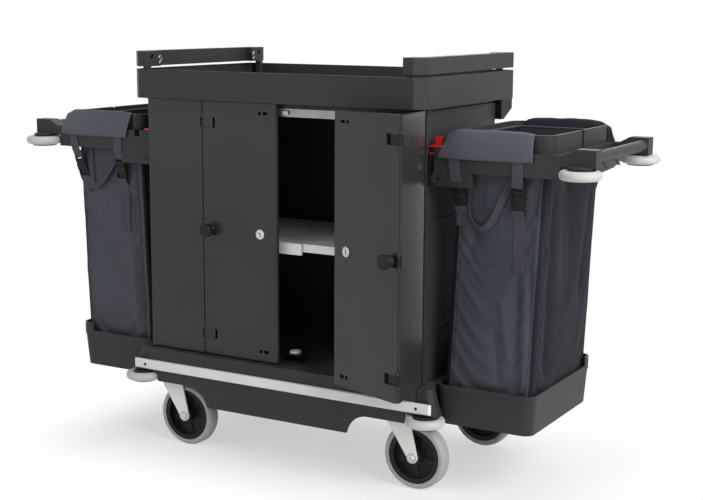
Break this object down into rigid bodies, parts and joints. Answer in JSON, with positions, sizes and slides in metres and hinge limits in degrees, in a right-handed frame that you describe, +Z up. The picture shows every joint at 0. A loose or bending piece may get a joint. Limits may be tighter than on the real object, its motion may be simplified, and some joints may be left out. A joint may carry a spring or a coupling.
{
  "type": "janitor cart",
  "caption": "Two-bag housekeeping cart: a cabinet with folding doors and a railed top tray on a swivel-castor base, with a fold-down frame and fabric bag at each end.",
  "frame": {"origin": "on the floor, under the middle of the cart", "axes": "+X along the cart to the right as seen from the doors, +Y to the rear, +Z up; the doors face -Y"},
  "size_m": [1.608, 0.6808, 1.0141],
  "materials": {
    "body_plastic": "fine-grained dark grey moulded plastic",
    "bumper_plastic": "smooth near-white bumper plastic",
    "fork_enamel": "cream white enamel on pressed steel",
    "black_plastic": "near-black moulded plastic",
    "tyre_rubber": "light grey non-marking rubber",
    "steel": "zinc-plated steel",
    "rail_metal": "satin grey metal",
    "shelf_plastic": "light grey laminate",
    "latch_plastic": "bright red moulded plastic",
    "bag_fabric": "slate blue-grey coated nylon weave"
  },
  "bodies": {
    "cart": {"base_deck": "body_plastic", "ring_posts": "body_plastic", "base_skirts": "body_plastic", "bumper_strips": "bumper_plastic", "castor_plates": "steel", "left_side_panel": "body_plastic", "right_side_panel": "body_plastic", "back_panel": "body_plastic", "cabinet_top": "body_plastic", "door_rail": "rail_metal", "door_catches": "black_plastic", "shelves": "shelf_plastic", "jamb_pivots": "steel", "top_tray": "body_plastic", "tray_gussets": "black_plastic", "left_end_rail": "body_plastic", "right_end_rail": "body_plastic", "left_end_tray": "body_plastic", "right_end_tray": "body_plastic", "left_bag": "bag_fabric", "right_bag": "bag_fabric", "left_bag_flaps": "bag_fabric", "right_bag_flaps": "bag_fabric", "wall_brackets": "black_plastic"},
    "fork_front_left": {"fork_front_left": "fork_enamel"},
    "wheel_front_left": {"wheel_front_left": "black_plastic", "tyre_front_left": "tyre_rubber"},
    "base_ring_front_left": {"base_ring_front_left": "bumper_plastic"},
    "fork_front_right": {"fork_front_right": "fork_enamel"},
    "wheel_front_right": {"wheel_front_right": "black_plastic", "tyre_front_right": "tyre_rubber"},
    "base_ring_front_right": {"base_ring_front_right": "bumper_plastic"},
    "fork_rear_left": {"fork_rear_left": "fork_enamel"},
    "wheel_rear_left": {"wheel_rear_left": "black_plastic", "tyre_rear_left": "tyre_rubber"},
    "base_ring_rear_left": {"base_ring_rear_left": "bumper_plastic"},
    "fork_rear_right": {"fork_rear_right": "fork_enamel"},
    "wheel_rear_right": {"wheel_rear_right": "black_plastic", "tyre_rear_right": "tyre_rubber"},
    "base_ring_rear_right": {"base_ring_rear_right": "bumper_plastic"},
    "left_frame": {"left_bag_frame": "body_plastic", "left_hoop": "body_plastic"},
    "left_latch": {"left_latch": "latch_plastic"},
    "frame_ring_front_left": {"frame_ring_front_left": "bumper_plastic"},
    "frame_ring_rear_left": {"frame_ring_rear_left": "bumper_plastic"},
    "left_jamb": {"left_jamb_leaf": "body_plastic"},
    "left_fold": {"left_fold_leaf": "body_plastic", "left_fold_hinges": "black_plastic", "left_knob": "black_plastic"},
    "left_lock": {"left_lock_plug": "steel"},
    "right_frame": {"right_bag_frame": "body_plastic", "right_hoop": "body_plastic"},
    "right_latch": {"right_latch": "latch_plastic"},
    "frame_ring_front_right": {"frame_ring_front_right": "bumper_plastic"},
    "frame_ring_rear_right": {"frame_ring_rear_right": "bumper_plastic"},
    "right_jamb": {"right_jamb_leaf": "body_plastic"},
    "right_fold": {"right_fold_leaf": "body_plastic", "right_fold_hinges": "black_plastic", "right_knob": "black_plastic"},
    "right_lock": {"right_lock_plug": "steel"}
  },
  "joints": [
    {"name": "swivel_front_left", "type": "hinge", "parent": "cart", "child": "fork_front_left", "pos_m": [-0.332, -0.191, 0.1761], "axis": [0, 0, 1], "continuous": true},
    {"name": "spin_front_left", "type": "hinge", "parent": "fork_front_left", "child": "wheel_front_left", "pos_m": [-0.294, -0.191, 0.08], "axis": [0, 1, 0], "continuous": true},
    {"name": "base_ring_turn_front_left", "type": "hinge", "parent": "cart", "child": "base_ring_front_left", "pos_m": [-0.41, -0.231, 0.1786], "axis": [0, 0, 1], "continuous": true},
    {"name": "swivel_front_right", "type": "hinge", "parent": "cart", "child": "fork_front_right", "pos_m": [0.332, -0.191, 0.1761], "axis": [0, 0, 1], "continuous": true},
    {"name": "spin_front_right", "type": "hinge", "parent": "fork_front_right", "child": "wheel_front_right", "pos_m": [0.37, -0.191, 0.08], "axis": [0, 1, 0], "continuous": true},
    {"name": "base_ring_turn_front_right", "type": "hinge", "parent": "cart", "child": "base_ring_front_right", "pos_m": [0.41, -0.231, 0.1786], "axis": [0, 0, 1], "continuous": true},
    {"name": "swivel_rear_left", "type": "hinge", "parent": "cart", "child": "fork_rear_left", "pos_m": [-0.332, 0.191, 0.1761], "axis": [0, 0, 1], "continuous": true},
    {"name": "spin_rear_left", "type": "hinge", "parent": "fork_rear_left", "child": "wheel_rear_left", "pos_m": [-0.294, 0.191, 0.08], "axis": [0, 1, 0], "continuous": true},
    {"name": "base_ring_turn_rear_left", "type": "hinge", "parent": "cart", "child": "base_ring_rear_left", "pos_m": [-0.41, 0.231, 0.1786], "axis": [0, 0, 1], "continuous": true},
    {"name": "swivel_rear_right", "type": "hinge", "parent": "cart", "child": "fork_rear_right", "pos_m": [0.332, 0.191, 0.1761], "axis": [0, 0, 1], "continuous": true},
    {"name": "spin_rear_right", "type": "hinge", "parent": "fork_rear_right", "child": "wheel_rear_right", "pos_m": [0.37, 0.191, 0.08], "axis": [0, 1, 0], "continuous": true},
    {"name": "base_ring_turn_rear_right", "type": "hinge", "parent": "cart", "child": "base_ring_rear_right", "pos_m": [0.41, 0.231, 0.1786], "axis": [0, 0, 1], "continuous": true},
    {"name": "left_frame_fold", "type": "hinge", "parent": "cart", "child": "left_frame", "pos_m": [-0.414, 0, 0.7411], "axis": [0, -1, 0], "range_deg": [0, 90], "deforming": ["left_bag", "left_bag_flaps"]},
    {"name": "left_latch_slide", "type": "slide", "parent": "left_frame", "child": "left_latch", "axis": [-1, 0, 0], "range_m": [0, 0.012], "stiffness_N_per_m": 60, "springref_m": -0.004},
    {"name": "frame_ring_turn_front_left", "type": "hinge", "parent": "left_frame", "child": "frame_ring_front_left", "pos_m": [-0.757, -0.2, 0.7711], "axis": [0, 0, 1], "continuous": true},
    {"name": "frame_ring_turn_rear_left", "type": "hinge", "parent": "left_frame", "child": "frame_ring_rear_left", "pos_m": [-0.757, 0.2, 0.7711], "axis": [0, 0, 1], "continuous": true},
    {"name": "left_door_swing", "type": "hinge", "parent": "cart", "child": "left_jamb", "pos_m": [-0.385, -0.215, 0.5766], "axis": [0, 0, -1], "range_deg": [0, 105]},
    {"name": "left_door_fold", "type": "hinge", "parent": "left_jamb", "child": "left_fold", "pos_m": [-0.222, -0.215, 0.5766], "axis": [0, 0, 1], "range_deg": [0, 126]},
    {"name": "left_lock_turn", "type": "hinge", "parent": "left_fold", "child": "left_lock", "pos_m": [-0.051, -0.213, 0.5766], "axis": [0, 1, 0], "range_deg": [0, 90]},
    {"name": "right_frame_fold", "type": "hinge", "parent": "cart", "child": "right_frame", "pos_m": [0.414, 0, 0.7411], "axis": [0, 1, 0], "range_deg": [0, 90], "deforming": ["right_bag", "right_bag_flaps"]},
    {"name": "right_latch_slide", "type": "slide", "parent": "right_frame", "child": "right_latch", "axis": [1, 0, 0], "range_m": [0, 0.012], "stiffness_N_per_m": 60, "springref_m": -0.004},
    {"name": "frame_ring_turn_front_right", "type": "hinge", "parent": "right_frame", "child": "frame_ring_front_right", "pos_m": [0.757, -0.2, 0.7711], "axis": [0, 0, 1], "continuous": true},
    {"name": "frame_ring_turn_rear_right", "type": "hinge", "parent": "right_frame", "child": "frame_ring_rear_right", "pos_m": [0.757, 0.2, 0.7711], "axis": [0, 0, 1], "continuous": true},
    {"name": "right_door_swing", "type": "hinge", "parent": "cart", "child": "right_jamb", "pos_m": [0.385, -0.215, 0.5766], "axis": [0, 0, 1], "range_deg": [-100, 5]},
    {"name": "right_door_fold", "type": "hinge", "parent": "right_jamb", "child": "right_fold", "pos_m": [0.4133, -0.37552, 0.5766], "axis": [0, 0, -1], "range_deg": [-120, 6]},
    {"name": "right_lock_turn", "type": "hinge", "parent": "right_fold", "child": "right_lock", "pos_m": [0.2533, -0.31516, 0.5766], "axis": [0.342, 0.9397, 0], "range_deg": [-90, 0]}
  ],
  "couplings": [
    {"joint": "left_door_fold", "follows": "left_door_swing", "ratio": 1.2},
    {"joint": "right_door_fold", "follows": "right_door_swing", "ratio": 1.2}
  ]
}
